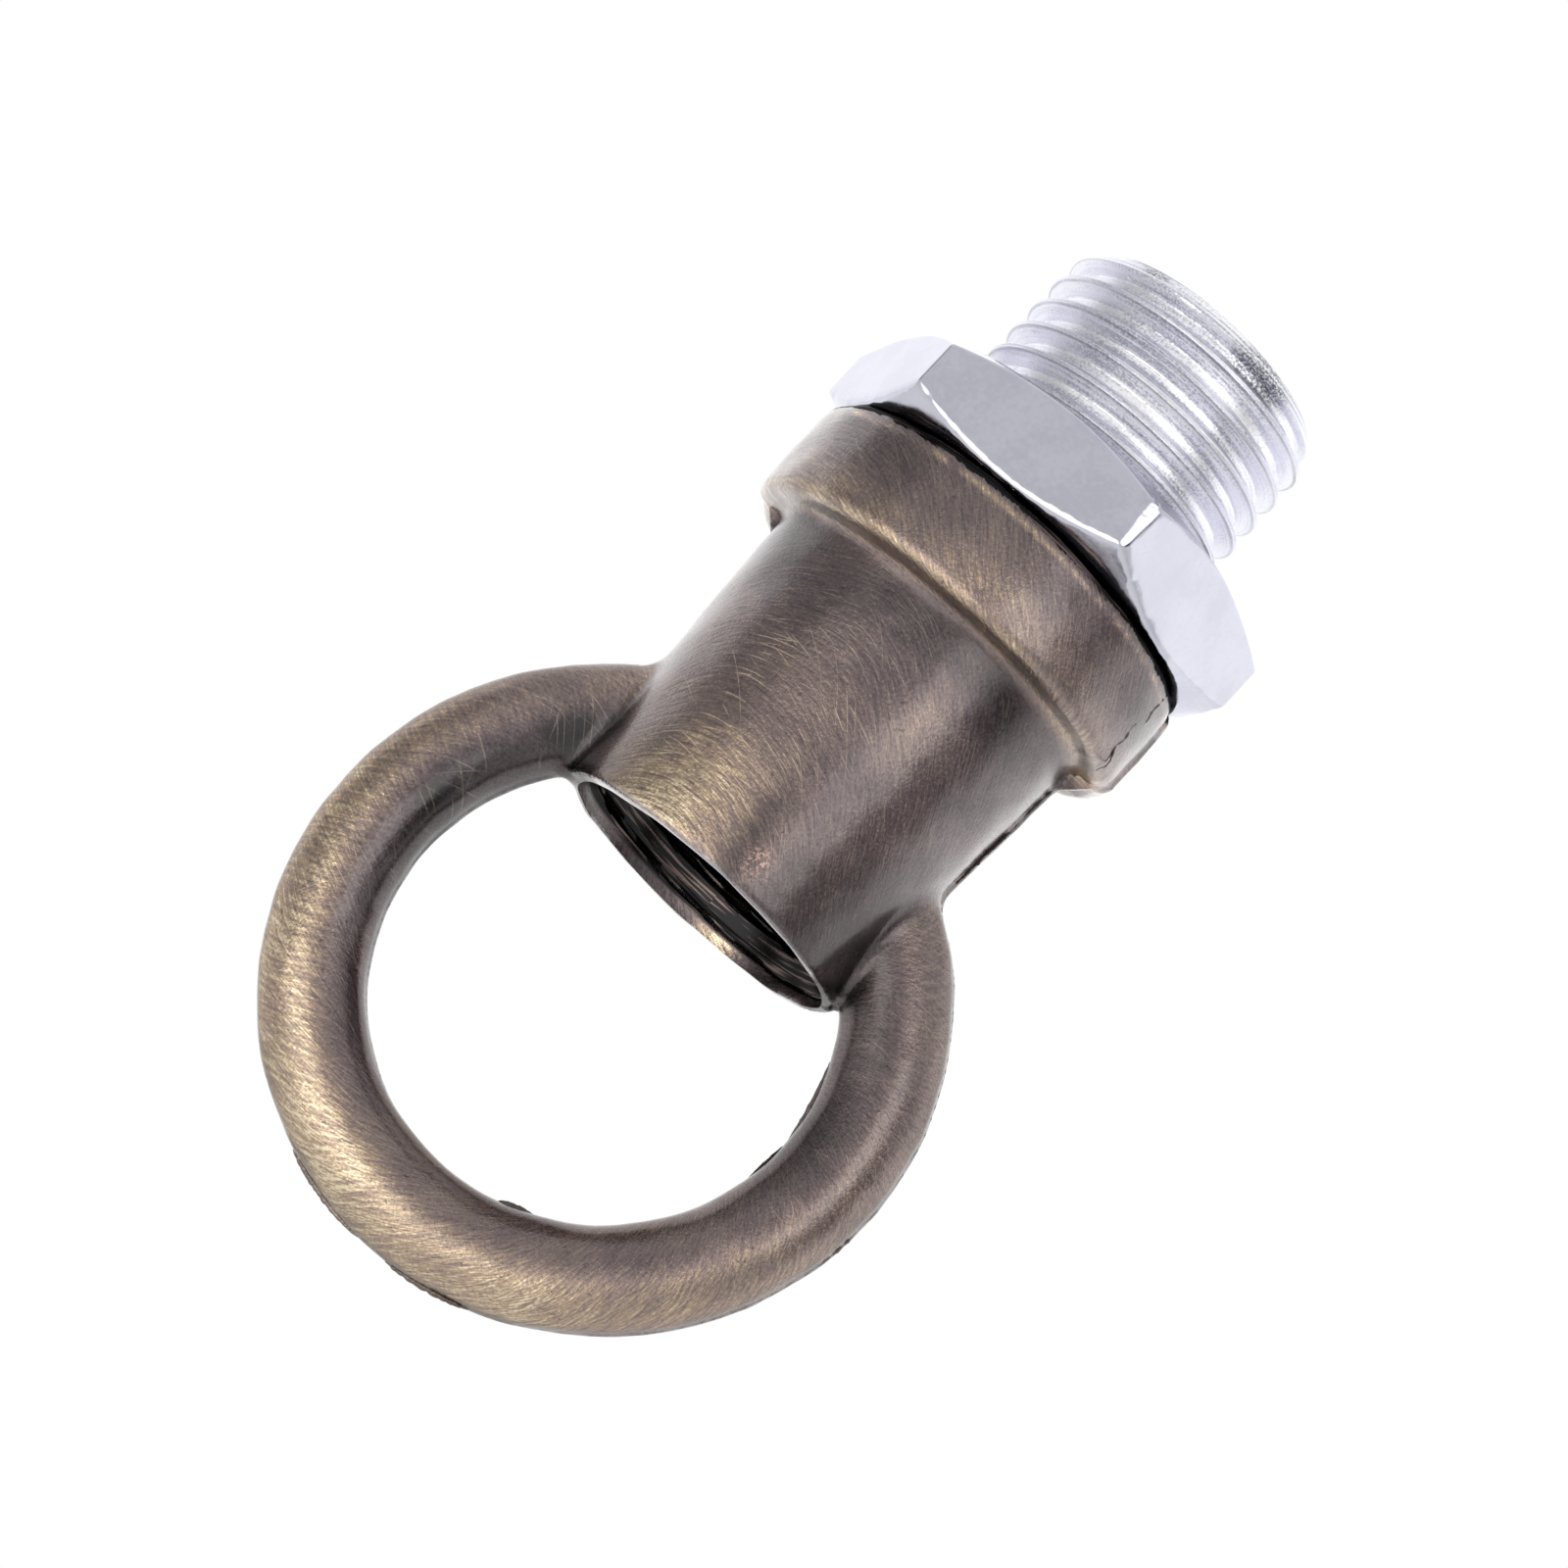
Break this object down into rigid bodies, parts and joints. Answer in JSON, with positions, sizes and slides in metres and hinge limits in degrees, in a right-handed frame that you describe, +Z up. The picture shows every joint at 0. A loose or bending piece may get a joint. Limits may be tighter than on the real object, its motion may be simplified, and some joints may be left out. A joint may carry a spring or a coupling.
{
  "type": "lamp ceiling hook",
  "caption": "Hanging loop for a lamp: cast ring on a hollow tapered socket with a round flange, topped by a hexagon locknut and a hollow threaded stud that screws into the ceiling fitting.",
  "frame": {"origin": "on the stud's axis at the nut's upper face, where the free thread begins", "axes": "+Z up along the stud's axis towards its free end; the ring hangs below in the XZ plane, and its eye looks along Y"},
  "size_m": [0.021, 0.0152, 0.0382],
  "materials": {
    "antique_bronze": "antique bronze plating, wire brushed, darker in the recesses",
    "zinc_plated_stud": "bright zinc plated rolled thread",
    "zinc_plated_nut": "bright zinc plated"
  },
  "bodies": {
    "root": {"cast_loop": "antique_bronze", "threaded_tube": "zinc_plated_stud", "hex_locknut": "zinc_plated_nut"}
  },
  "joints": []
}
